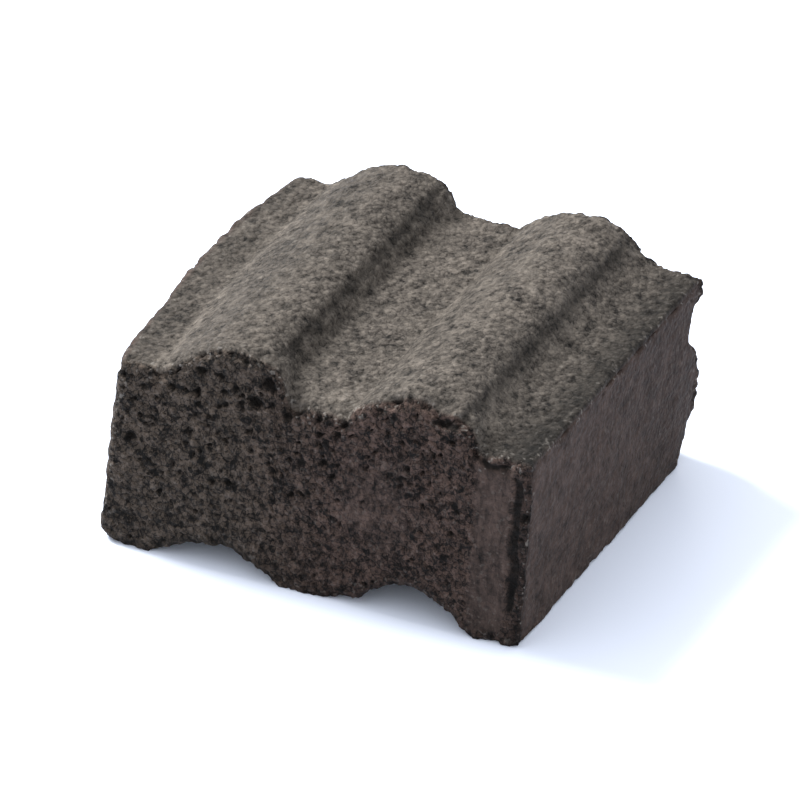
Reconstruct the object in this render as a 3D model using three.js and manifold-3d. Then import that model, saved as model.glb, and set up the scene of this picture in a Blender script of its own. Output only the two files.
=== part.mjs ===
// A corrugated barbecue briquette: one block of pressed charcoal.
// Two rounded ridges run along its top and two matching channels along its underside, so it
// stands on three feet and the next block nests on it. Both ends are cut a little aslant.
// Millimetres, +Z up: X runs across the ridges, Y along them, and the feet stand on z = 0.
import * as THREE from 'three';
import { mergeVertices } from 'three/addons/utils/BufferGeometryUtils.js';
import Module from 'manifold-3d';

// Driving dimensions
const WIDTH = 60.6; // across the ridges, at mid height
const LENGTH = 53.5; // along the ridges, at mid height
const SHOULDER_HEIGHT = 26; // floor to the flat strips along both sides
const FRONT_SLANT = 4; // how far the foot of the front end stands out past its shoulder
const BACK_SLANT = 3; // how far the foot of the back end lies in under its shoulder
const LEFT_DRAFT = 1.4; // how far the left side's foot stands out past its shoulder

// Channels: where each starts and ends across the block, from its middle, and its rise. Its flanks
// lean in by a share of its width.
const LEFT_CHANNEL = { from: -22.4, to: -5.2, rise: 3.6, leftLean: 0.28, rightLean: 0.28 };
const RIGHT_CHANNEL = { from: 5.6, to: 22.7, rise: 5, leftLean: 0.28, rightLean: 0.36 };

// Ridges: a gentle left flank that starts at the foot and a steep right one that ends in a crease.
// These points and the handles of the curves between them are [across, height].
const LEFT_RIDGE = { foot: [-24.9, 26.1], handles: [[-18, 32.9], [-9.8, 33.1]], crease: [-7.7, 27.75] };
const RIGHT_RIDGE = { foot: [3.1, 26.4], handles: [[9.3, 32.9], [17.4, 33]], crease: [20.4, 27.75] };

// The skirts that run out from the creases, over the valley to the right ridge and to the shoulder
const VALLEY_HANDLES = [[-7.1, 26.7], [-0.8, 26.8]];
const SHOULDER_HANDLES = [[22.9, 26.4], [23.9, 26]];

// Worn edges
const EDGE_WEAR = 0.8; // rounding of the rims of both ends
const SHOULDER_RADIUS = 1.6;
const LEFT_FOOT_RADIUS = 3;
const RIGHT_FOOT_RADIUS = 1.4;

// Pieces broken out of the rims: middle of each break, its radius, and its stretch on X, Y and Z
const BREAKS = [
  { at: [31.9, 28.3, 19], radius: 4.1, stretch: [1, 1, 0.9] }, // far right rim, above halfway
  { at: [31.3, 27.5, 1], radius: 4.3, stretch: [1, 1.1, 0.9] }, // far right foot
  { at: [18.5, -26.6, 32], radius: 4, stretch: [1.5, 0.9, 0.7] }, // front of the right ridge
  { at: [-31.4, -30.2, 0.4], radius: 3.4, stretch: [1, 1, 1.1] }, // front left foot
];

const STEPS_ALONG = 6;
const POINTS_PER_CURVE = 12;
const ROUNDING_STEPS = 3;
const BREAK_ROUNDNESS = 2;

// A cubic curve whose two handles stand this far up reaches its full rise halfway
const HANDLE_HEIGHT = 4 / 3;

/** Adds a channel to the outline, walked to the right along the floor. */
function channel(outline, { from, to, rise, leftLean, rightLean }) {
  const top = HANDLE_HEIGHT * rise;
  const nearLeft = from + leftLean * (to - from);
  const nearRight = to - rightLean * (to - from);
  outline.lineTo(from, 0);
  outline.bezierCurveTo(nearLeft, top, nearRight, top, to, 0);
}

/** Adds a curve to the outline, walked to the left from the far end of its handles to an end point. */
function curveBack(outline, [near, far], end) {
  outline.bezierCurveTo(...far, ...near, ...end);
}

/** The block's cross section, walked anticlockwise from the left foot. */
function crossSection() {
  const side = WIDTH / 2;
  const top = SHOULDER_HEIGHT;
  const outline = new THREE.Shape();
  outline.moveTo(-side + LEFT_FOOT_RADIUS, 0);
  channel(outline, LEFT_CHANNEL);
  channel(outline, RIGHT_CHANNEL);
  outline.lineTo(side - RIGHT_FOOT_RADIUS, 0);
  outline.quadraticCurveTo(side, 0, side, RIGHT_FOOT_RADIUS);
  outline.lineTo(side, top - SHOULDER_RADIUS);
  outline.quadraticCurveTo(side, top, side - SHOULDER_RADIUS, top);
  curveBack(outline, SHOULDER_HANDLES, RIGHT_RIDGE.crease);
  curveBack(outline, RIGHT_RIDGE.handles, RIGHT_RIDGE.foot);
  curveBack(outline, VALLEY_HANDLES, LEFT_RIDGE.crease);
  curveBack(outline, LEFT_RIDGE.handles, LEFT_RIDGE.foot);
  outline.lineTo(-side + SHOULDER_RADIUS, top);
  outline.quadraticCurveTo(-side, top, -side, top - SHOULDER_RADIUS);
  outline.lineTo(-side, LEFT_FOOT_RADIUS);
  outline.quadraticCurveTo(-side, 0, -side + LEFT_FOOT_RADIUS, 0);
  return outline;
}

/** The straight bar with rounded rims, then its slanted ends and its leaning left side. */
function slantedBar() {
  const bar = new THREE.ExtrudeGeometry(crossSection(), {
    depth: LENGTH - 2 * EDGE_WEAR,
    steps: STEPS_ALONG,
    curveSegments: POINTS_PER_CURVE,
    bevelEnabled: true,
    bevelThickness: EDGE_WEAR,
    bevelSize: EDGE_WEAR,
    bevelOffset: -EDGE_WEAR,
    bevelSegments: ROUNDING_STEPS,
  });
  bar.rotateX(Math.PI / 2);
  bar.translate(0, LENGTH / 2 - EDGE_WEAR, 0);

  const points = bar.attributes.position;
  for (let i = 0; i < points.count; i += 1) {
    const up = points.getZ(i) / SHOULDER_HEIGHT - 0.5;
    const leftwards = Math.max(0, -points.getX(i) / (WIDTH / 2));
    const backwards = THREE.MathUtils.clamp(points.getY(i) / LENGTH + 0.5, 0, 1);
    const slant = THREE.MathUtils.lerp(FRONT_SLANT, BACK_SLANT, backwards);
    points.setX(i, points.getX(i) + LEFT_DRAFT * up * leftwards);
    points.setY(i, points.getY(i) + slant * up);
  }
  return bar;
}

/** The lump that is missing at one break. */
function breakLump({ at, radius, stretch }) {
  const lump = new THREE.IcosahedronGeometry(radius, BREAK_ROUNDNESS);
  lump.scale(...stretch);
  lump.translate(...at);
  return lump;
}

const wasm = await Module();
wasm.setup();

/** A closed three.js geometry as a solid that can be cut. */
function toSolid(geometry) {
  const bare = geometry.clone();
  bare.deleteAttribute('normal');
  bare.deleteAttribute('uv');
  const merged = mergeVertices(bare);
  return new wasm.Manifold(new wasm.Mesh({
    numProp: 3,
    vertProperties: new Float32Array(merged.attributes.position.array),
    triVerts: new Uint32Array(merged.index.array),
  }));
}

/** A cut solid as a three.js geometry again. */
function toGeometry(solid) {
  const mesh = solid.getMesh();
  const geometry = new THREE.BufferGeometry();
  geometry.setAttribute('position', new THREE.BufferAttribute(mesh.vertProperties, 3));
  geometry.setIndex(new THREE.BufferAttribute(mesh.triVerts, 1));
  geometry.computeVertexNormals();
  return geometry;
}

/** The whole block, with the middle of its footprint at the origin and its feet on z = 0. */
function block() {
  let solid = toSolid(slantedBar());
  for (const spot of BREAKS) solid = solid.subtract(toSolid(breakLump(spot)));
  const geometry = toGeometry(solid);
  geometry.computeBoundingBox();
  const { min, max } = geometry.boundingBox;
  geometry.translate(-(min.x + max.x) / 2, -(min.y + max.y) / 2, -min.z);
  return geometry;
}

const charcoal = new THREE.MeshStandardMaterial({ color: 0x4b4641, roughness: 0.95, metalness: 0 });

const briquette = new THREE.Mesh(block(), charcoal);
briquette.name = 'briquette';

const model = new THREE.Group();
model.add(briquette);

export default model;
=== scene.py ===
"""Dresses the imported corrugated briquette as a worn, porous block of pressed charcoal.

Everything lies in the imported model's frame: X across the ridges, Y along them, Z up. Sizes are
in millimetres until a mesh is finished, when it is scaled to metres.
"""

import logging
import math
from dataclasses import dataclass
from enum import Enum
from functools import lru_cache

import bmesh
import bpy
from mathutils import Matrix, Vector, noise


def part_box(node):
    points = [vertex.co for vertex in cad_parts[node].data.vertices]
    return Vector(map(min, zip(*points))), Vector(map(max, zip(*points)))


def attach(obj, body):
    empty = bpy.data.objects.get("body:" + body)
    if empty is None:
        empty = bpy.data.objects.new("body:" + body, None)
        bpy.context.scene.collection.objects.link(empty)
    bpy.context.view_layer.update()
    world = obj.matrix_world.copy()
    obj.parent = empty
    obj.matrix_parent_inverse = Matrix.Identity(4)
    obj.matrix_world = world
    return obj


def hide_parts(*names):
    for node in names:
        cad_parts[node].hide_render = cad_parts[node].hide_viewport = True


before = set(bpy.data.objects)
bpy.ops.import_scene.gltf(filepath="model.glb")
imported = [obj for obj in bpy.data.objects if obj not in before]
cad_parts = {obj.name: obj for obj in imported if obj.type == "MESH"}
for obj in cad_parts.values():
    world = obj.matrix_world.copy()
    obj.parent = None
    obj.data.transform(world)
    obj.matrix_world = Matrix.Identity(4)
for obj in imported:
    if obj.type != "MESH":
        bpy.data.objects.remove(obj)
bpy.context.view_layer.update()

log = logging.getLogger("briquette")

MM = 0.001

Pair = tuple[float, float]
Triple = tuple[float, float, float]
Settings = dict[str, object]
Inputs = dict[object, object]


def ramp(low: float, high: float, value: float) -> float:
    """Smooth step from 0 at low to 1 at high."""
    share = min(max((value - low) / (high - low), 0.0), 1.0)
    return share * share * (3 - 2 * share)


def fade(reach: float, value: float) -> float:
    """Smooth fall from 1 at zero to 0 at the reach."""
    return 1 - ramp(0, reach, value)


def blend(start: float, end: float, share: float) -> float:
    """The value that lies the given share of the way from start to end."""
    return start + (end - start) * share


def hump(value: float, middle: float, half_width: float) -> float:
    """1 at the middle, falling away on both sides of it over about the half width."""
    off = (value - middle) / half_width
    return math.exp(-off * off)


class Zone(Enum):
    """Kinds of skin on the block and where light and shade are painted on it, each kept as an
    attribute of its mesh.
    """

    CUT = "cut"
    SIDE = "side"
    # painted shade in the hollows and creases
    HOLLOW_SHADE = "hollow"
    RUBBED = "rubbed"
    SMOOTH = "smooth"
    # painted light and shade: lighter and darker places of the skin
    PAINTED_SHADING = "tone"


@dataclass(frozen=True)
class Curve:
    """A cubic curve of the cross section: its two ends and the two handles between them."""

    start: Pair
    handles: tuple[Pair, Pair]
    end: Pair
    halvings: int = 18

    def _at(self, step: float, axis: int) -> float:
        """One coordinate of the curve after a step.

        Args:
            step: how far along the curve, from 0 to 1.
            axis: 0 for the place across the block, 1 for the height.

        Returns:
            That coordinate.
        """
        rest = 1 - step
        near, far = self.handles
        inner = 3 * rest * rest * step * near[axis] + 3 * rest * step * step * far[axis]
        return rest**3 * self.start[axis] + inner + step**3 * self.end[axis]

    def height(self, across: float) -> float:
        """Height of the curve, found by halving the stretch that holds the place.

        Args:
            across: a place between the two ends of the curve.

        Returns:
            The height there.
        """
        low, high = 0.0, 1.0
        for _ in range(self.halvings):
            middle = (low + high) / 2
            if self._at(middle, 0) < across:
                low = middle
            else:
                high = middle
        return self._at(low, 1)


def arch(start: float, end: float, rise: float, left_lean: float, right_lean: float) -> Curve:
    """An arch over the floor, whose flanks lean in by a share of its width.

    Args:
        start: where it starts across the block.
        end: where it ends.
        rise: its height.
        left_lean: how far its left flank leans in.
        right_lean: how far its right flank leans in.

    Returns:
        The arch as one curve.
    """
    handle_height = 4 / 3 * rise
    near = (start + left_lean * (end - start), handle_height)
    far = (end - right_lean * (end - start), handle_height)
    return Curve((start, 0.0), (near, far), (end, 0.0))


@dataclass(frozen=True)
class Outline:
    """One side of the cross section: curves from left to right, with a level line beside them."""

    level: float
    curves: tuple[Curve, ...]
    softness: float

    def _sharp(self, across: float) -> float:
        """Height of the outline with sharp creases, which is level beside its curves."""
        here = (curve for curve in self.curves if curve.start[0] <= across < curve.end[0])
        return next((curve.height(across) for curve in here), self.level)

    @lru_cache(maxsize=None)
    def height(self, across: float) -> float:
        """Height of the outline, averaged over the width that softens its creases."""
        shifts = (-self.softness, -self.softness / 2, 0.0, self.softness / 2, self.softness)
        return sum(self._sharp(across + shift) for shift in shifts) / len(shifts)


@dataclass(frozen=True)
class Nick:
    """A worn dip in the upper or the lower rim of the front end."""

    across: float
    half_width: float
    depth: float
    reach: float

    def drop(self, across: float, from_front: float) -> float:
        """How far the rim is worn down at a place, given from the middle and from the front."""
        return self.depth * hump(across, self.across, self.half_width) * fade(self.reach, from_front)


@dataclass(frozen=True)
class Spread:
    """How far the steep flank of a ridge stands out to the right near the two ends."""

    crease: float
    front: float
    back: float
    reach: float = 7.0
    left_width: float = 6.0
    right_width: float = 2.6

    def shift(self, across: float, from_front: float, from_back: float) -> float:
        """How far the outline is drawn to the right.

        Args:
            across: a place across the block.
            from_front: its distance from the front end.
            from_back: its distance from the back end.

        Returns:
            The shift there.
        """
        off = across - self.crease
        width = self.right_width if off > 0 else self.left_width
        near = self.front * fade(self.reach, from_front)
        far = self.back * fade(self.reach, from_back)
        return (near + far) * fade(width, abs(off))


@dataclass(frozen=True)
class RimWear:
    """How far the rims of the straight bar are worn round, most of all before the ridges."""

    radius: float = 0.9
    unevenness: float = 0.5
    unevenness_size: float = 9.0
    reach: float = 6.0
    ridges: tuple[Pair, ...] = ((-14.5, 1.2), (14.5, 2.2))
    ridge_reach: Pair = (2.0, 10.0)
    left_foot: float = 1.3
    sharper_feet: float = 0.25

    def rounded(self, straight: Vector, half: Vector) -> Vector:
        """Wears the rims of the straight bar round.

        Args:
            straight: a point on the skin of the straight bar, from its middle.
            half: half of the bar's size on each axis.

        Returns:
            Where that point lies once the rims are worn.
        """
        radius = self.radius + self.unevenness * noise.noise(straight / self.unevenness_size)
        front = fade(self.reach, straight.y + half.y)
        high = fade(self.reach, half.z - straight.z)
        for middle, extra in self.ridges:
            radius += extra * front * high * (1 - ramp(*self.ridge_reach, abs(straight.x - middle)))
        left = fade(self.reach, straight.x + half.x)
        low = fade(self.reach, straight.z + half.z)
        radius += low * (self.left_foot * left - self.sharper_feet)
        core = Vector([min(max(p, radius - h), h - radius) for p, h in zip(straight, half)])
        out = straight - core
        return core + out * (radius / out.length) if out.length > radius else straight


@dataclass(frozen=True)
class Lump:
    """A rounded lump that has broken out of the block, leaving a dent."""

    middle: Triple
    radius: float
    stretch: Triple
    roughness: float = 0.16
    grain: float = 2.2

    def dent(self, place: Vector) -> Vector:
        """Pushes a point that lies inside the lump out to the lump's skin.

        Args:
            place: a point of the block's skin.

        Returns:
            The same point, or its place on the dent.
        """
        middle = Vector(self.middle)
        away = Vector([(p - m) / s for p, m, s in zip(place, middle, self.stretch)])
        reach = self.radius * (1 + self.roughness * noise.noise(place / self.grain))
        if away.length >= reach or away.length == 0:
            return place
        away *= reach / away.length
        return middle + Vector([a * s for a, s in zip(away, self.stretch)])


@dataclass(frozen=True)
class Spot:
    """A point of the smooth block, with how far it lies from the edges of its straight bar."""

    place: Vector
    to_end: float
    to_side: float
    to_shoulder: float
    to_foot: float
    front: bool
    right: bool

    def cut(self, reach: float = 1.0) -> float:
        """1 on the cut ends, falling to 0 within the given reach past their rims."""
        return fade(reach, self.to_end)

    def wall(self, reach: float = 1.0) -> float:
        """1 on the two long sides, falling to 0 within the given reach past their rims."""
        return fade(reach, self.to_side) * (1 - self.cut(reach))

    def upper(self, reach: float = 6.0) -> float:
        """1 on the ridged top, falling to 0 on the ends and the sides and below the reach."""
        return (1 - self.cut()) * (1 - self.wall()) * fade(reach, self.to_shoulder)

    def rim(self, reach: float) -> float:
        """1 on the rims of the cut ends, falling to 0 at the given reach from them."""
        other = min(self.to_side, self.to_shoulder, self.to_foot)
        return fade(reach, self.to_end) * fade(reach, other)

    def arris(self, reach: float) -> float:
        """1 on the long edges of the sides, falling to 0 at the given reach from them."""
        other = min(self.to_shoulder, self.to_foot)
        return fade(reach, self.to_side) * fade(reach, other)


@dataclass(frozen=True)
class Swell:
    """Unevenness of the whole skin, as wide and as high as given."""

    size: float
    height: float

    def relief(self, spot: Spot) -> float:
        """Height of the swell at a spot."""
        return self.height * noise.noise(spot.place / self.size)


@dataclass(frozen=True)
class Granules:
    """Packed grains: rounded cells with crevices between them."""

    size: float
    height: float
    crevice: float = 0.3

    def relief(self, spot: Spot) -> float:
        """Height of the grains at a spot, below 0 in the crevices."""
        near, second = noise.voronoi(spot.place / self.size)[0][:2]
        return self.height * (ramp(0, self.crevice, second - near) - 1)


@dataclass(frozen=True)
class Crumbling:
    """Grains that have fallen out along an edge, more of them near the top of a weak edge."""

    size: float
    levels: Pair
    offset: Triple
    loss: float
    more_near_top: float
    near_top: Pair = (1.0, 5.0)

    def lost(self, spot: Spot, edge: float, weak: bool) -> float:
        """Depth of the grains that are missing.

        Args:
            spot: a spot of the skin.
            edge: the spot's share of the edge.
            weak: whether the edge is weak.

        Returns:
            The depth there.
        """
        near_top = 1 - ramp(*self.near_top, spot.to_shoulder)
        lumps = noise.noise(spot.place / self.size + Vector(self.offset))
        loss = self.loss + self.more_near_top * near_top * weak
        return loss * ramp(*self.levels, lumps) * edge


@dataclass(frozen=True)
class Cavities:
    """Ragged hollows between clumps of grains."""

    size: float
    threshold: float
    deepest: float
    seed: float
    finer: float = 2.3
    finer_share: float = 0.45
    slope: float = 0.4

    def depth(self, spot: Spot, more: float = 0.0) -> float:
        """Depth of the cavity at a spot.

        Args:
            spot: a spot of the skin.
            more: how far the threshold is lowered, for more and wider cavities.

        Returns:
            The depth there, 0 between the cavities.
        """
        place = spot.place / self.size + Vector((self.seed, -self.seed, self.seed))
        clumps = noise.noise(place) + self.finer_share * noise.noise(place * self.finer)
        start = self.threshold - more
        return self.deepest * ramp(start, start + self.slope, clumps)


@dataclass(frozen=True)
class Pores:
    """The random pores: many on the ends, mostly high up, and few on the top and the sides."""

    large: Cavities = Cavities(1.2, 0.56, 0.8, 4.1)
    small: Cavities = Cavities(0.8, 0.54, 0.45, 11.3)
    top: Cavities = Cavities(1.0, 0.62, 0.32, 8.7)
    side: Cavities = Cavities(1.3, 0.72, 0.5, 2.9)
    loose: Swell = Swell(7.0, 0.16)
    loose_shift: Triple = (5.0, 5.0, 5.0)
    top_looseness: float = 0.5
    heights: Pair = (9.0, 22.0)
    more_above: float = 0.2
    more_at_arris: float = 0.16
    arris_reach: float = 5.0
    closed_where_smooth: float = 0.9

    def depth(self, spot: Spot, smooth: float) -> float:
        """Depth of the pores at a spot.

        Args:
            spot: a spot of the skin.
            smooth: how smooth the front end is there.

        Returns:
            The depth there, 0 beside the pores.
        """
        shifted = spot.place / self.loose.size + Vector(self.loose_shift)
        loose = self.loose.height * noise.noise(shifted)
        above = self.more_above * ramp(*self.heights, spot.place.z)
        ends = max(self.large.depth(spot, loose + above), self.small.depth(spot, loose))
        ends *= 1 - self.closed_where_smooth * smooth
        skin = self.top.depth(spot, self.top_looseness * loose)
        near_arris = self.more_at_arris * spot.arris(self.arris_reach) if spot.right else 0.0
        sides = self.side.depth(spot, near_arris)
        cut, wall = spot.cut(), spot.wall()
        return ends * cut + (1 - cut) * (sides * wall + skin * (1 - wall))


@dataclass(frozen=True)
class Pit:
    """One ragged hole in the front end, placed across and up."""

    across: float
    up: float
    half_width: float = 0.6
    half_height: float = 0.5
    raggedness: float = 0.5
    grain: float = 0.5
    steepness: float = 1.3
    wall: Pair = (0.35, 1.25)

    def depth(self, spot: Spot) -> float:
        """Depth of the pit.

        Args:
            spot: a spot of the front end.

        Returns:
            The depth there, 0 beside the pit.
        """
        aside = (spot.place.x - self.across) / self.half_width
        above = (spot.place.z - self.up) / self.half_height
        ragged = 1 + self.raggedness * noise.noise(spot.place / self.grain)
        off = math.hypot(aside, above) / ragged
        return self.steepness * self.half_height * (1 - ramp(*self.wall, off))


@dataclass(frozen=True)
class Groove:
    """A worn line on the front end, upright or level, which fades out at both of its ends."""

    upright: bool
    middle: float
    half_width: float
    ends: Pair
    fades: Pair
    sway: Swell
    flat: float
    deepest: float = 0.5

    def depth(self, spot: Spot) -> float:
        """Depth of the line.

        Args:
            spot: a spot of the front end.

        Returns:
            The depth there, 0 beside the line and past its ends.
        """
        off, along = spot.place.x, spot.place.z
        if not self.upright:
            off, along = along, off
        off = abs(off - self.middle + self.sway.relief(spot)) / self.half_width
        start, end = self.ends
        near = ramp(start, start + self.fades[0], along)
        far = 1 - ramp(end - self.fades[1], end, along)
        return self.deepest * (1 - ramp(self.flat, 1, off)) * near * far


@dataclass(frozen=True)
class Patch:
    """A smoother oblong on the front end, given by its sides, its foot and its top."""

    left: float
    right: float
    low: float
    high: float
    strength: float
    softness: float
    raggedness: float = 0.4
    grain: float = 3.0

    def share(self, spot: Spot) -> float:
        """How smooth the patch makes the front end.

        Args:
            spot: a spot of the front end.

        Returns:
            The patch's strength inside it, falling to 0 around it.
        """
        aside = max(self.left - spot.place.x, spot.place.x - self.right, 0.0)
        above = max(self.low - spot.place.z, spot.place.z - self.high, 0.0)
        ragged = self.raggedness * self.softness * noise.noise(spot.place / self.grain)
        return self.strength * fade(self.softness, math.hypot(aside, above) + ragged)


@dataclass(frozen=True)
class FrontEnd:
    """What only the front end has: its larger pits, its worn lines and its smoother patches."""

    pits: tuple[Pit, ...] = (
        Pit(-26.9, 15.9, 0.9, 0.7),
        Pit(-25.5, 23.5),
        Pit(-17.7, 29.7),
        Pit(-15.0, 30.6, 0.7, 0.4),
        Pit(-10.9, 30.5),
        Pit(-17.3, 27.6, 0.9, 0.6),
        Pit(-14.4, 27.5),
        Pit(-7.3, 28.2, 1.0, 0.9),
        Pit(-13.8, 25.5, 0.7, 0.5),
        Pit(-12.1, 26.4),
        Pit(-13.4, 23.8),
        Pit(-9.0, 25.2, 1.1, 0.8),
        Pit(-11.1, 24.4),
        Pit(-6.6, 25.4),
        Pit(-4.2, 24.4, 0.8, 0.6),
        Pit(-2.7, 25.2),
        Pit(0.3, 25.0, 0.7, 0.5),
        Pit(4.0, 25.2, 0.7, 0.6),
        Pit(3.2, 23.7),
        Pit(1.4, 19.1),
        Pit(-1.8, 18.4),
        Pit(-5.8, 16.3, 0.7, 0.6),
        Pit(-12.3, 13.1),
        Pit(-14.5, 12.5),
        Pit(-3.0, 13.5),
        Pit(-0.6, 14.3),
        Pit(10.6, 30.3, 1.4, 0.45),
        Pit(13.4, 30.9, 0.9, 0.4),
        Pit(18.5, 28.8, 2.3, 0.5),
    )
    grooves: tuple[Groove, ...] = (
        Groove(True, 29.6, 0.9, ends=(3.5, 25.0), fades=(2.5, 2.0), sway=Swell(4.0, 0.4), flat=0.2),
        Groove(False, 25.0, 0.55, ends=(23.4, 28.6), fades=(1.0, 1.0), sway=Swell(2.0, 0.6), flat=0.3),
    )
    patches: tuple[Patch, ...] = (
        Patch(24.4, 28.2, 2.0, 24.4, 0.95, 1.6),
        Patch(6.5, 12.0, 11.5, 19.0, 0.5, 5.0),
    )

    def depth(self, spot: Spot) -> float:
        """Depth of the deepest pit or line at a spot."""
        return max(hollow.depth(spot) for hollow in self.grooves + self.pits)

    def smooth(self, spot: Spot) -> float:
        """How smooth the end is at a spot."""
        return max(patch.share(spot) for patch in self.patches)


@dataclass(frozen=True)
class Band:
    """A strip along the top with painted light or shade, lighter or darker than the rest."""

    across: float
    half_width: float
    gain: float

    def tone(self, across: float) -> float:
        """What the strip's painted light or shade adds at a place across the block."""
        return self.gain * hump(across, self.across, self.half_width)


@dataclass(frozen=True)
class PaintedShading:
    """Painted light and shade: where the skin is painted lighter or darker than usual."""

    bands: tuple[Band, ...] = (
        Band(-29.0, 3.4, -0.16),
        Band(-23.4, 1.7, 0.34),
        Band(-11.8, 1.8, 0.14),
        Band(-7.8, 1.2, 0.20),
        Band(-5.2, 1.2, 0.12),
        Band(-0.8, 2.6, 0.18),
        Band(4.5, 3.2, 0.14),
        Band(8.0, 3.0, 0.10),
        Band(14.5, 3.6, 0.24),
        Band(21.8, 1.2, 0.24),
        Band(30.0, 4.2, -0.62),
    )
    corner_shade: float = 0.5
    corner_reach: Pair = (0.3, 2.2)
    shoulder_shade: float = 0.2
    shoulder_across: Pair = (21.0, 25.0)
    shoulder_reach: Pair = (4.0, 18.0)
    side_shade: float = 0.24
    side_along: Pair = (-18.0, 24.0)
    smooth_shade: float = 0.12
    low_shade: float = 0.18
    low_height: float = 14.0
    foot_shade: float = 0.25
    foot_reach: Pair = (0.4, 2.2)

    def at(self, spot: Spot, smooth: float) -> float:
        """How light the painted light and shade make the skin.

        Args:
            spot: a spot of the skin.
            smooth: how smooth the front end is there.

        Returns:
            The painted lightness there, where 1 is usual.
        """
        tone = 1 + spot.upper() * sum(band.tone(spot.place.x) for band in self.bands)
        if spot.front and spot.right:
            corner = 1 - ramp(*self.corner_reach, spot.to_end)
            corner *= 1 - ramp(*self.corner_reach, spot.to_side)
            shoulder = spot.upper() * (1 - ramp(*self.shoulder_reach, spot.to_end))
            shoulder *= ramp(*self.shoulder_across, spot.place.x)
            tone -= self.corner_shade * corner + self.shoulder_shade * shoulder
        if spot.right:
            tone -= self.side_shade * spot.wall() * ramp(*self.side_along, spot.place.y)
        low = self.low_shade * fade(self.low_height, spot.place.z)
        foot = self.foot_shade * (1 - ramp(*self.foot_reach, spot.to_foot))
        return tone - spot.cut() * (self.smooth_shade * smooth + low + foot)


@dataclass(frozen=True)
class Crumbs:
    """Light crumbs that lie on the foot of the right ridge, near the front."""

    across: float = 6.5
    half_width: float = 5.5
    amount: float = 0.55
    reach: Pair = (3.0, 14.0)

    def share(self, spot: Spot) -> float:
        """How thickly the crumbs lie at a spot, 0 away from the front."""
        near = spot.front * (1 - ramp(*self.reach, spot.to_end))
        return self.amount * spot.upper() * near * hump(spot.place.x, self.across, self.half_width)


@dataclass(frozen=True)
class Skin:
    """Height of the relief at one point, and the point's share of each zone."""

    height: float
    zones: dict[Zone, float]


@dataclass(frozen=True)
class Wire:
    """A shader socket that takes part in arithmetic, one Math node for each operation."""

    kit: "NodeKit"
    socket: bpy.types.NodeSocket

    def _math(self, operation: str, first: object, second: object) -> "Wire":
        """Adds a Math node on two values."""
        return self.kit.wire("ShaderNodeMath", {"operation": operation}, {0: first, 1: second})

    def __add__(self, other: object) -> "Wire":
        """Sum of two values."""
        return self._math("ADD", self, other)

    __radd__ = __add__

    def __sub__(self, other: object) -> "Wire":
        """This value less the other."""
        return self._math("SUBTRACT", self, other)

    def __rsub__(self, other: object) -> "Wire":
        """The other value less this one."""
        return self._math("SUBTRACT", other, self)

    def __mul__(self, other: object) -> "Wire":
        """Product of two values."""
        return self._math("MULTIPLY", self, other)

    __rmul__ = __mul__

    def at_least(self, other: object) -> "Wire":
        """This value, or the other where that is higher."""
        return self._math("MAXIMUM", self, other)

    def clamped(self) -> "Wire":
        """This value held between 0 and 1."""
        settings = {"operation": "ADD", "use_clamp": True}
        return self.kit.wire("ShaderNodeMath", settings, {0: self, 1: 0.0})

    def ramped(self, low: float, high: float) -> "Wire":
        """Smooth step from 0 at low to 1 at high."""
        inputs = {"Value": self, "From Min": low, "From Max": high}
        return self.kit.wire("ShaderNodeMapRange", {"interpolation_type": "SMOOTHSTEP"}, inputs)


class NodeKit:
    """Adds nodes to one material's tree."""

    def __init__(self, name: str) -> None:
        """Starts an empty material.

        Args:
            name: the material's name.
        """
        self.material = bpy.data.materials.new(name)
        self.material.use_nodes = True
        self.tree = self.material.node_tree
        self.tree.nodes.clear()

    def node(self, kind: str, settings: Settings, inputs: Inputs) -> bpy.types.Node:
        """Adds one node.

        Args:
            kind: the node's type.
            settings: its properties, which are set first.
            inputs: a value, a colour or a Wire for each socket, by name or place.

        Returns:
            The node.
        """
        node = self.tree.nodes.new(kind)
        for name, value in settings.items():
            setattr(node, name, value)
        for name, value in inputs.items():
            socket = node.inputs[name]
            if isinstance(value, Wire):
                self.tree.links.new(value.socket, socket)
            else:
                socket.default_value = value
        return node

    def wire(self, kind: str, settings: Settings, inputs: Inputs, output: object = 0) -> Wire:
        """Adds a node and returns one of its outputs, by name or place."""
        return Wire(self, self.node(kind, settings, inputs).outputs[output])

    def mix(self, share: Wire, first: object, second: object) -> Wire:
        """Mixes two colours by a share."""
        return self.wire("ShaderNodeMix", {"data_type": "RGBA"}, {0: share, 6: first, 7: second}, 2)

    def scaled(self, vector: Wire, factor: object) -> Wire:
        """Multiplies a vector or a colour by a value."""
        inputs = {0: vector, "Scale": factor}
        return self.wire("ShaderNodeVectorMath", {"operation": "SCALE"}, inputs)

    def noise(self, place: Wire, size: float, detail: float, rough: float) -> Wire:
        """A noise pattern whose features are about the given size."""
        inputs = {"Vector": place, "Scale": 1 / size, "Detail": detail, "Roughness": rough}
        return self.wire("ShaderNodeTexNoise", {}, inputs)

    def attribute(self, zone: Zone) -> Wire:
        """Reads one of the piece's own attributes."""
        return self.wire("ShaderNodeAttribute", {"attribute_name": zone.value}, {}, "Fac")

    def finish(self, inputs: Inputs) -> bpy.types.Material:
        """Ends the tree in one shader.

        Args:
            inputs: the shader's inputs.

        Returns:
            The finished material.
        """
        shader = self.node("ShaderNodeBsdfPrincipled", {}, inputs)
        output = self.node("ShaderNodeOutputMaterial", {}, {})
        self.tree.links.new(shader.outputs[0], output.inputs["Surface"])
        return self.material


def rgba(colour: Triple) -> tuple[float, float, float, float]:
    """A colour with full alpha."""
    return (*colour, 1.0)


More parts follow.
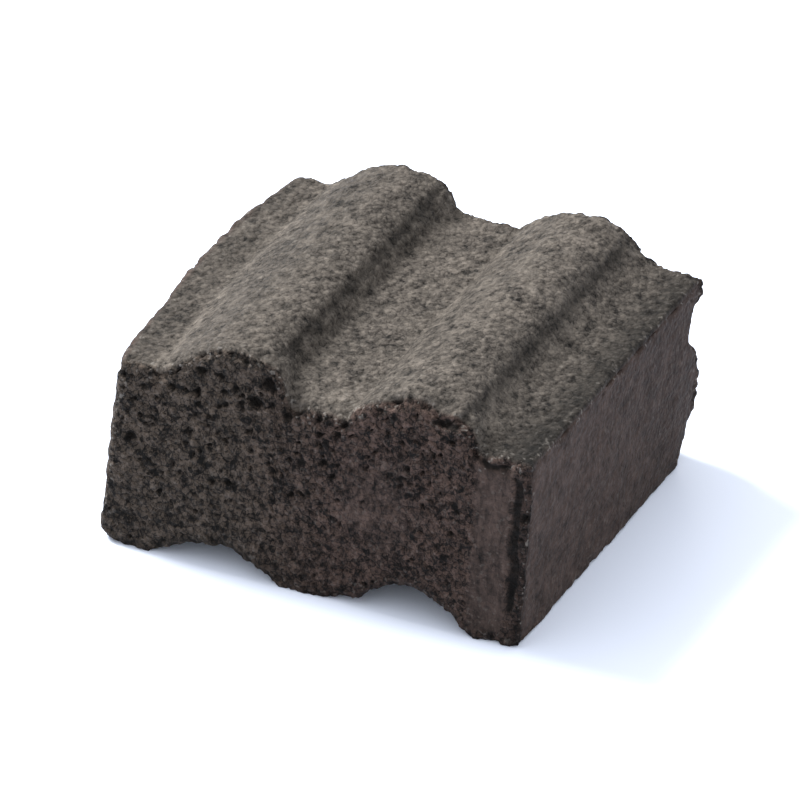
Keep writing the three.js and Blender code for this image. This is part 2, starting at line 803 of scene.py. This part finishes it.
@dataclass(frozen=True)
class Finish:
    """Colours of pressed charcoal, and how little it shines."""

    dusty: Triple = (0.0582, 0.0509, 0.0438)
    olive: Triple = (0.0420, 0.0328, 0.0262)
    umber: Triple = (0.0400, 0.0266, 0.0220)
    plum: Triple = (0.0436, 0.0304, 0.0258)
    # Black also paints the shade in the hollows and creases.
    black: Triple = (0.003, 0.0026, 0.0023)
    speck: Triple = (0.17, 0.158, 0.145)
    roughness: float = 0.74
    rougher_grains: float = 0.2
    shine: float = 0.16


@dataclass(frozen=True)
class PatternSizes:
    """Sizes of the patterns in the skin, and how the drawn-out ones are stretched."""

    cloud: float = 9.0
    patch: float = 2.6
    coarse: float = 1.25
    grain: float = 0.5
    fine: float = 0.2
    streak: float = 1.1
    drag: float = 0.8
    cell: float = 0.85
    fleck: float = 0.62
    along: Triple = (1.0, 0.12, 1.0)
    upright: Triple = (1.0, 1.0, 0.3)


@dataclass(frozen=True)
class Contrasts:
    """How strongly each pattern lightens and darkens the skin."""

    coarse: float = 2.3
    coarse_less_on_cut: float = 1.1
    grain: float = 1.8
    fine: float = 0.7
    cell: float = 0.5
    joint: float = 0.35
    joint_width: float = 0.09
    cloud: float = 0.7
    patch: float = 1.3
    streak: float = 0.6
    drag: float = 2.0
    more_on_cut: float = 1.1
    less_on_side: float = 0.55
    less_where_smooth: float = 0.75
    darkest: float = 0.05


@dataclass(frozen=True)
class Stains:
    """Black pores, light specks and the painted shade of the hollows: how many, how dark, and from
    which level of their patterns.
    """

    pore_levels: Pair = (0.40, 0.33)
    pores: float = 0.45
    more_pores_on_cut: float = 0.4
    fleck_levels: Pair = (0.58, 0.68)
    fleck_clumps: Pair = (0.46, 0.58)
    specks: float = 0.12
    more_specks_on_rims: float = 0.6
    # Painted shade: how dark the hollows and creases are painted.
    hollows: float = 0.88
    umber_across: Pair = (-14.0, 6.0)


@dataclass(frozen=True)
class FineRelief:
    """The relief that is too fine for the mesh."""

    height: float = 0.4
    coarse: float = 0.7
    grain: float = 0.32
    more_grain_on_cut: float = 0.9
    fine_on_cut: float = 0.2
    crevice_levels: Pair = (0.2, 0.65)
    crevices: float = 0.35
    more_crevices_on_cut: float = 0.25
    drag_on_cut: float = 0.5


@dataclass(frozen=True)
class CharcoalSkin:
    """Looks of the block: dusty on top, black in its pores, rubbed on its rims."""

    finish: Finish = Finish()
    sizes: PatternSizes = PatternSizes()
    contrasts: Contrasts = Contrasts()
    stains: Stains = Stains()
    fine_relief: FineRelief = FineRelief()


class SkinNodes:
    """Node tree of the block's material: its zones, its patterns and what mixes them."""

    def __init__(self, skin: CharcoalSkin) -> None:
        """Adds the nodes of the zones and the patterns.

        Args:
            skin: the looks that the tree follows.
        """
        self.skin = skin
        self.kit = NodeKit("pressed_charcoal")
        kit, sizes = self.kit, skin.sizes
        object_place = kit.wire("ShaderNodeTexCoord", {}, {}, "Object")
        in_mm = kit.scaled(object_place, 1 / MM)
        along = kit.wire("ShaderNodeMapping", {}, {"Vector": in_mm, "Scale": sizes.along})
        upright = kit.wire("ShaderNodeMapping", {}, {"Vector": in_mm, "Scale": sizes.upright})
        self.across = kit.wire("ShaderNodeSeparateXYZ", {}, {0: in_mm})

        zones = [kit.attribute(zone) for zone in Zone]
        # Two zones are painted light: shade in the hollows and creases, and the lighter and darker
        # places of the skin.
        self.cut, self.side, self.hollow, self.rubbed, self.smooth, self.tone = zones
        self.rough = 1 - self.smooth * skin.contrasts.less_where_smooth

        self.cloud = kit.noise(in_mm, sizes.cloud, 3, 0.55)
        self.patch = kit.noise(in_mm, sizes.patch, 2, 0.5)
        self.coarse = kit.noise(in_mm, sizes.coarse, 2, 0.6)
        self.grain = kit.noise(in_mm, sizes.grain, 3, 0.7)
        self.fine = kit.noise(in_mm, sizes.fine, 2, 0.6)
        self.fleck = kit.noise(in_mm, sizes.fleck, 1, 0.5)
        self.streak = kit.noise(along, sizes.streak, 3, 0.6)
        self.drag = kit.noise(upright, sizes.drag, 2, 0.6)

        cells = {"Vector": in_mm, "Scale": 1 / sizes.cell, "Randomness": 1.0}
        self.cell_gap = kit.wire("ShaderNodeTexVoronoi", {"feature": "F1"}, cells)
        cell_tint = kit.wire("ShaderNodeTexVoronoi", {"feature": "F1"}, cells, "Color")
        self.cell_tone = kit.wire("ShaderNodeSeparateColor", {}, {0: cell_tint})
        self.joint = kit.wire("ShaderNodeTexVoronoi", {"feature": "DISTANCE_TO_EDGE"}, cells)

    def base(self) -> Wire:
        """The plain colour of each zone.

        Returns:
            The colour, before any pattern.
        """
        kit, look = self.kit, self.skin.finish
        outer = kit.mix(self.side, rgba(look.dusty), rgba(look.plum))
        rightwards = self.across.ramped(*self.skin.stains.umber_across)
        bare = kit.mix(rightwards, rgba(look.olive), rgba(look.umber))
        bare = kit.mix(self.smooth, bare, rgba(look.plum))
        return kit.mix(self.cut, outer, bare)

    def shade(self) -> Wire:
        """How light the patterns and the painted light and shade make the skin.

        Returns:
            The factor of the plain colour.
        """
        by = self.skin.contrasts
        contrast = (1 + self.cut * by.more_on_cut - self.side * by.less_on_side) * self.rough
        pattern = (self.coarse - 0.5) * (by.coarse - self.cut * by.coarse_less_on_cut)
        pattern = pattern + (self.grain - 0.5) * by.grain + (self.fine - 0.5) * by.fine
        pattern = pattern + (self.cell_tone - 0.5) * by.cell
        pattern = pattern - self.joint.ramped(by.joint_width, 0.0) * by.joint
        slow = (self.cloud - 0.5) * by.cloud + (self.patch - 0.5) * by.patch
        slow = slow + (self.streak - 0.5) * by.streak * (1 - self.cut)
        marks = (self.drag - 0.5) * by.drag * self.cut
        return ((1 + pattern * contrast + slow + marks) * self.tone).at_least(by.darkest)

    def stained_and_shaded(self, colour: Wire) -> Wire:
        """Adds the black pores, the light specks, and painted shade that darkens the hollows and
        creases.

        Args:
            colour: the skin's colour so far.

        Returns:
            The skin's final colour.
        """
        kit, by, look = self.kit, self.skin.stains, self.skin.finish
        pores = self.grain.ramped(*by.pore_levels)
        pores = pores * (by.pores + self.cut * by.more_pores_on_cut) * self.rough
        colour = kit.mix(pores.clamped(), colour, rgba(look.black))
        specks = self.fleck.ramped(*by.fleck_levels) * self.coarse.ramped(*by.fleck_clumps)
        specks = specks * (by.specks + self.rubbed * by.more_specks_on_rims)
        colour = kit.mix(specks.clamped(), colour, rgba(look.speck))
        # Painted shade: the hollows and creases are darkened towards black.
        return kit.mix((self.hollow * by.hollows).clamped(), colour, rgba(look.black))

    def normal(self) -> Wire:
        """The fine relief of grains, crevices and drag marks.

        Returns:
            The normal of the skin.
        """
        by = self.skin.fine_relief
        gritty = self.coarse * by.coarse + self.grain * (by.grain + self.cut * by.more_grain_on_cut)
        gritty = gritty + self.fine * self.cut * by.fine_on_cut
        crevices = self.cell_gap.ramped(*by.crevice_levels)
        crevices = crevices * (by.crevices + self.cut * by.more_crevices_on_cut)
        height = (gritty - crevices) * self.rough + self.drag * self.cut * by.drag_on_cut
        inputs = {"Strength": 1.0, "Distance": by.height * MM, "Height": height}
        return self.kit.wire("ShaderNodeBump", {}, inputs)

    def material(self) -> bpy.types.Material:
        """Ends the tree in its shader.

        Returns:
            The finished material.
        """
        look = self.skin.finish
        inputs = {
            "Base Color": self.stained_and_shaded(self.kit.scaled(self.base(), self.shade())),
            "Roughness": look.roughness + self.grain * look.rougher_grains,
            "Specular IOR Level": look.shine,
            "Normal": self.normal(),
        }
        return self.kit.finish(inputs)


def placed(mesh: bmesh.types.BMesh, name: str) -> bpy.types.Object:
    """Turns a mesh into an object of the scene.

    Args:
        mesh: the finished mesh, which is freed.
        name: the name of the object and of its mesh.

    Returns:
        The object, at the origin.
    """
    data = bpy.data.meshes.new(name)
    mesh.to_mesh(data)
    mesh.free()
    thing = bpy.data.objects.new(name, data)
    bpy.context.scene.collection.objects.link(thing)
    return thing


@dataclass
class Block:
    """The one piece: the pressed block, cut from a corrugated strip."""

    name: str = "charcoal_block"
    cad_node: str = "briquette"
    slot: str = "charcoal"

    width: float = 60.6
    length: float = 53.5
    shoulder: float = 26.0
    front_slant: float = 4.0
    back_slant: float = 3.0
    left_draft: float = 2.2
    left_swelling: float = 1.1
    left_bulge: float = 2.4
    bulge_levels: Pair = (-0.6, 0.5)

    top: Outline = Outline(
        26.0,
        (
            Curve((-28.7, 26.0), ((-27.4, 26.0), (-26.2, 26.0)), (-24.9, 26.1)),
            Curve((-24.9, 26.1), ((-18.0, 32.9), (-9.8, 33.1)), (-7.7, 27.75)),
            Curve((-7.7, 27.75), ((-7.1, 26.7), (-0.8, 26.8)), (3.1, 26.4)),
            Curve((3.1, 26.4), ((9.3, 32.9), (17.4, 33.0)), (20.4, 27.75)),
            Curve((20.4, 27.75), ((22.9, 26.4), (23.9, 26.0)), (28.7, 26.0)),
        ),
        0.3,
    )
    underside: Outline = Outline(
        0.0,
        (arch(-22.4, -5.2, 3.6, 0.28, 0.28), arch(5.6, 22.7, 5.0, 0.28, 0.36)),
        0.8,
    )
    spreads: tuple[Spread, ...] = (Spread(-7.7, 1.5, 0.9), Spread(20.4, 1.2, 0.4))
    nicks: tuple[Nick, ...] = (
        Nick(-23.0, 1.4, 1.0, 3.5),
        Nick(-4.9, 1.7, 1.6, 4.0),
        Nick(-1.2, 2.4, 1.1, 3.0),
        Nick(2.2, 1.3, 1.0, 2.6),
        Nick(16.0, 1.7, 1.2, 3.0),
        Nick(22.7, 1.4, 1.2, 3.5),
    )
    foot_nicks: tuple[Nick, ...] = (Nick(4.8, 1.8, 1.0, 5.0),)
    breaks: tuple[Lump, ...] = (
        Lump((32.8, 28.6, 19), 5.0, (1, 1, 0.9)),
        Lump((32.9, 28.2, 0.4), 7.0, (1, 1.05, 0.95)),
        Lump((18.5, -26.6, 32), 4.0, (1.5, 0.9, 0.7)),
        Lump((-32.5, -30.8, 0.0), 3.0, (1, 1, 1.1)),
    )

    rim_wear: RimWear = RimWear()
    front_end: FrontEnd = FrontEnd()
    pores: Pores = Pores()
    painted_shades: PaintedShading = PaintedShading()
    crumbs: Crumbs = Crumbs()

    swells: tuple[Swell, ...] = (Swell(17, 0.4), Swell(6, 0.22))
    ripples: tuple[Swell, ...] = (Swell(1.9, 0.16), Swell(0.9, 0.1))
    end_grains: Granules = Granules(1.6, 0.26)
    skin_grains: Granules = Granules(1.2, 0.12)
    less_grain_on_side: float = 0.7
    less_relief_where_smooth: float = 0.8
    fullness: float = 0.28
    right_side_hollow: float = 0.6

    rim_reach: float = 2.6
    crumbled_rims: Crumbling = Crumbling(2.6, (0.0, 0.45), (3, 1, 7), 0.3, 0.6)
    arris_reach: float = 2.2
    chipped_arrises: Crumbling = Crumbling(2.3, (0.1, 0.5), (9, 4, 2), 0.3, 0.4)

    creases: tuple[float, ...] = (-7.45, 20.65)
    crease_sway: Swell = Swell(2.0, 0.25)
    crease_reach: Pair = (0.1, 0.8)
    crease_depth: float = 0.25

    # Painted shade: the depths over which hollows are painted dark, and how dark the creases are
    # painted.
    hollow_shade_depths: Pair = (0.05, 0.4)
    crease_shade: float = 0.55
    arris_rubbing: float = 0.8
    foot_rubbing: float = 0.2
    foot_rubbing_heights: Pair = (0.5, 4.0)

    cells: tuple[int, int, int] = (186, 112, 88)
    crowding: float = 0.5
    map_name: str = "OFBake"
    map_size: float = 126.0
    map_gap: float = 2.0

    def half(self) -> Vector:
        """Half of the straight bar's size on each axis."""
        return Vector((self.width, self.length, self.shoulder)) / 2

    def grid(self) -> bmesh.types.BMesh:
        """A unit cube whose six faces are cut into fine grids.

        Returns:
            Its mesh.
        """
        mesh = bmesh.new()
        bmesh.ops.create_cube(mesh, size=1)
        for axis, count in enumerate(self.cells):
            edges = [e for e in mesh.edges if e.verts[0].co[axis] != e.verts[1].co[axis]]
            bmesh.ops.subdivide_edges(mesh, edges=edges, cuts=count - 1, use_grid_fill=True)
        mesh.normal_update()
        return mesh

    def straight(self, cube_place: Vector) -> Vector:
        """Lays a point of the unit cube on the straight bar, crowded towards its ends.

        Args:
            cube_place: a point on the skin of the unit cube.

        Returns:
            Where it lies on the bar, from the bar's middle.
        """
        across, along, up = cube_place
        crowded = blend(along, math.sin(math.pi * along) / 2, self.crowding)
        return Vector((across * self.width, crowded * self.length, up * self.shoulder))

    def lay_out(self, mesh: bmesh.types.BMesh) -> None:
        """Gives the unit cube a map of three rows, with two opposite sides beside each other.

        Args:
            mesh: the unit cube's mesh.
        """
        layer = mesh.loops.layers.uv.new(self.map_name)
        half = self.half()
        rows = (self.length + self.shoulder + 3 * self.map_gap, self.length + 2 * self.map_gap)
        starts = (rows[0], rows[1], self.map_gap)
        for face in mesh.faces:
            axis = max(range(3), key=lambda i: abs(face.normal[i]))
            first, second = [i for i in range(3) if i != axis]
            column = 0 if face.normal[axis] > 0 else self.width + self.map_gap
            for loop in face.loops:
                place = self.straight(loop.vert.co) + half
                across = (self.map_gap / 2 + column + place[first]) / self.map_size
                loop[layer].uv = (across, (starts[axis] + place[second]) / self.map_size)

    def section(self, worn: Vector) -> float:
        """Height of a point once the bar has its ridges and channels.

        Args:
            worn: a point of the worn bar, from the bar's middle.

        Returns:
            Its height above the floor.
        """
        from_front = worn.y + self.length / 2
        from_back = self.length / 2 - worn.y
        across = worn.x
        for spread in self.spreads:
            across -= spread.shift(worn.x, from_front, from_back)
        low = self.underside.height(round(worn.x, 2))
        high = self.top.height(round(across, 2))
        high -= sum(nick.drop(worn.x, from_front) for nick in self.nicks)
        low += sum(nick.drop(worn.x, from_front) for nick in self.foot_nicks)
        return blend(low, high, worn.z / self.shoulder + 0.5)

    def shaped(self, worn: Vector) -> Vector:
        """Gives a point of the worn bar its ridges, channels, slants, draft and bulge.

        Args:
            worn: a point of the worn bar, from the bar's middle.

        Returns:
            Its place on the smooth block.
        """
        height = self.section(worn)
        up = height / self.shoulder - 0.5
        leftwards = max(0.0, -worn.x / (self.width / 2))
        backwards = min(max(worn.y / self.length + 0.5, 0.0), 1.0)
        slant = blend(self.front_slant, self.back_slant, backwards)
        middle = 1 - (2 * worn.y / self.length) ** 2
        bulge = self.left_swelling + self.left_bulge * middle * ramp(*self.bulge_levels, up)
        x = worn.x + self.left_draft * up * leftwards - bulge * leftwards**2
        return Vector((x, worn.y + slant * up, height))

    def worn_away(self, spot: Spot) -> float:
        """How much the crumbled rims and the chipped arrises have lost at a spot."""
        rims = self.crumbled_rims.lost(spot, spot.rim(self.rim_reach), spot.front)
        return rims + self.chipped_arrises.lost(spot, spot.arris(self.arris_reach), spot.right)

    def grains(self, spot: Spot, rough: float) -> float:
        """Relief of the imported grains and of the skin's unevenness.

        Args:
            spot: a spot of the skin.
            rough: how rough it is, where 1 is usual.

        Returns:
            The height of the relief there.
        """
        cut, wall = spot.cut(), spot.wall()
        height = sum(swell.relief(spot) for swell in self.swells)
        height += rough * sum(ripple.relief(spot) for ripple in self.ripples)
        height += self.end_grains.relief(spot) * cut * rough
        whole = (1 - cut) * (1 - self.less_grain_on_side * wall)
        return height + self.skin_grains.relief(spot) * whole

    def fold(self, spot: Spot) -> float:
        """How much of a spot lies in one of the creases beside the ridges."""
        nearest = min(abs(spot.place.x - crease) for crease in self.creases)
        return spot.upper() * (1 - ramp(*self.crease_reach, nearest + self.crease_sway.relief(spot)))

    def rubbed(self, spot: Spot) -> float:
        """How far a spot is rubbed light.

        Args:
            spot: a spot of the skin.

        Returns:
            The share of light specks there, which is low near the feet.
        """
        arris = self.arris_rubbing * spot.arris(self.arris_reach)
        edges = max(spot.rim(self.rim_reach), arris, self.crumbs.share(spot))
        return edges * blend(self.foot_rubbing, 1.0, ramp(*self.foot_rubbing_heights, spot.to_foot))

    def relief(self, spot: Spot) -> Skin:
        """Works out the skin at a spot of the smooth block.

        Args:
            spot: the spot.

        Returns:
            The height of its relief and its share of each zone.
        """
        cut, wall = spot.cut(), spot.wall()
        smooth = cut * self.front_end.smooth(spot) if spot.front else 0.0
        depth = self.pores.depth(spot, smooth)
        if spot.front and cut > 0:
            depth = max(depth, cut * self.front_end.depth(spot))
        fold = self.fold(spot)
        height = self.grains(spot, 1 - self.less_relief_where_smooth * smooth)
        height += self.fullness - self.right_side_hollow * wall * spot.right
        height -= self.worn_away(spot) + depth + self.crease_depth * fold
        zones = {
            Zone.CUT: cut,
            Zone.SIDE: wall,
            # Painted shade in the hollows and creases.
            Zone.HOLLOW_SHADE: max(ramp(*self.hollow_shade_depths, depth), self.crease_shade * fold),
            Zone.RUBBED: self.rubbed(spot),
            Zone.SMOOTH: smooth,
            # Painted light and shade.
            Zone.PAINTED_SHADING: self.painted_shades.at(spot, smooth),
        }
        return Skin(height, zones)

    def spot(self, straight: Vector, place: Vector) -> Spot:
        """Gathers what the relief needs to know about one point.

        Args:
            straight: the point on the straight bar, from the bar's middle.
            place: the same point on the smooth block.

        Returns:
            The spot.
        """
        half = self.half()
        return Spot(
            place=place,
            to_end=half.y - abs(straight.y),
            to_side=half.x - abs(straight.x),
            to_shoulder=half.z - straight.z,
            to_foot=half.z + straight.z,
            front=straight.y < 0,
            right=straight.x > 0,
        )

    def centre(self, mesh: bmesh.types.BMesh) -> None:
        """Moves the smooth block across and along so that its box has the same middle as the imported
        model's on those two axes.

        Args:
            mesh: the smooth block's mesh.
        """
        low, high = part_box(self.cad_node)
        for axis in (0, 1):
            places = [vertex.co[axis] for vertex in mesh.verts]
            wanted = (low[axis] + high[axis]) / 2 / MM
            shift = Vector()
            shift[axis] = wanted - (min(places) + max(places)) / 2
            bmesh.ops.translate(mesh, vec=shift, verts=mesh.verts)

    def roughen(self, mesh: bmesh.types.BMesh, straights: list[Vector]) -> None:
        """Gives the smooth block its relief, its zones and its broken corners.

        Args:
            mesh: the smooth block's mesh.
            straights: where its vertices lie on the straight bar.
        """
        layers = {zone: mesh.verts.layers.float.new(zone.value) for zone in Zone}
        moves: list[Vector] = []
        for vertex, straight in zip(mesh.verts, straights):
            skin = self.relief(self.spot(straight, vertex.co.copy()))
            moves.append(vertex.co + vertex.normal * skin.height)
            for zone, share in skin.zones.items():
                vertex[layers[zone]] = share
        for vertex, place in zip(mesh.verts, moves):
            for lump in self.breaks:
                place = lump.dent(place)
            vertex.co = (place.x, place.y, max(place.z, 0.0))

    def build(self) -> bpy.types.Object:
        """Models the block and dresses it.

        Returns:
            The finished piece, in metres.
        """
        mesh = self.grid()
        self.lay_out(mesh)
        straights = [self.straight(vertex.co) for vertex in mesh.verts]
        for vertex, straight in zip(mesh.verts, straights):
            vertex.co = self.shaped(self.rim_wear.rounded(straight, self.half()))
        self.centre(mesh)
        mesh.normal_update()
        self.roughen(mesh, straights)
        bmesh.ops.transform(mesh, matrix=Matrix.Scale(MM, 4), verts=mesh.verts)
        bmesh.ops.triangulate(mesh, faces=mesh.faces, quad_method="SHORT_EDGE")
        for face in mesh.faces:
            face.smooth = True
        piece = placed(mesh, self.name)
        piece.data.materials.append(SkinNodes(CharcoalSkin()).material())
        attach(piece, "root")
        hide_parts(self.cad_node)
        return piece


@dataclass(frozen=True)
class Stand:
    """A place round the block: degrees to the right of the front, degrees up, and distance."""

    azimuth: float
    elevation: float
    distance: float
    aim: Triple = (0.0, 0.0, 0.014)

    def carry(self, name: str, data: bpy.types.ID) -> bpy.types.Object:
        """Stands a camera or a lamp there, facing the block.

        Args:
            name: the object's name.
            data: the camera or the lamp.

        Returns:
            The object.
        """
        turn, rise = math.radians(self.azimuth), math.radians(self.elevation)
        flat = math.cos(rise)
        back = Vector((math.sin(turn) * flat, -math.cos(turn) * flat, math.sin(rise)))
        carried = bpy.data.objects.new(name, data)
        bpy.context.scene.collection.objects.link(carried)
        carried.location = Vector(self.aim) + back * self.distance
        carried.rotation_mode = "QUATERNION"
        carried.rotation_quaternion = (-back).to_track_quat("-Z", "Y")
        return carried


@dataclass
class Studio:
    """The pale floor, the camera and the soft light."""

    floor_size: float = 12.0
    floor_colour: Triple = (0.79, 0.86, 1.0)
    floor_roughness: float = 0.35
    floor_shine: float = 0.35
    view: Stand = Stand(26.0, 32.04, 1.8507)
    lens: float = 624.0
    sensor: float = 36.0
    clips: Pair = (0.05, 20.0)
    key: Stand = Stand(-107.0, 44.7, 1.2)
    key_size: float = 0.36
    key_power: float = 28.3
    key_colour: Triple = (1.0, 0.985, 0.96)
    sky_colour: Triple = (0.975, 0.98, 1.0)
    sky_strength: float = 1.3

    def floor(self) -> None:
        """Lays a wide pale sheet under the block."""
        mesh = bmesh.new()
        bmesh.ops.create_grid(mesh, x_segments=1, y_segments=1, size=self.floor_size / 2)
        floor = placed(mesh, "floor")
        inputs = {
            "Base Color": rgba(self.floor_colour),
            "Roughness": self.floor_roughness,
            "Specular IOR Level": self.floor_shine,
        }
        floor.data.materials.append(NodeKit("floor_white").finish(inputs))

    def camera(self) -> None:
        """Sets the camera at the photograph's viewing angle and distance."""
        data = bpy.data.cameras.new("camera")
        data.lens = self.lens
        data.sensor_width = self.sensor
        data.clip_start, data.clip_end = self.clips
        bpy.context.scene.camera = self.view.carry("camera", data)

    def key_light(self) -> None:
        """Sets a square soft light on the left, a little behind."""
        data = bpy.data.lights.new("key", "AREA")
        data.size = self.key_size
        data.energy = self.key_power
        data.color = self.key_colour
        self.key.carry("key", data)

    def sky(self) -> None:
        """Sets a pale sky that fills the shade."""
        world = bpy.data.worlds.new("pale_sky")
        world.use_nodes = True
        background = world.node_tree.nodes["Background"]
        background.inputs["Color"].default_value = rgba(self.sky_colour)
        background.inputs["Strength"].default_value = self.sky_strength
        bpy.context.scene.world = world

    def build(self) -> None:
        """Sets the whole stage."""
        self.camera()
        self.floor()
        self.key_light()
        self.sky()
        bpy.context.scene.view_settings.view_transform = "Standard"


def main() -> None:
    """Builds the stage and the block, in that order."""
    logging.basicConfig(level=logging.INFO, format="%(name)s: %(message)s")
    Studio().build()
    log.info("stage set")
    piece = Block().build()
    log.info("%s: %d faces", piece.name, len(piece.data.polygons))


if __name__ == "__main__":
    main()
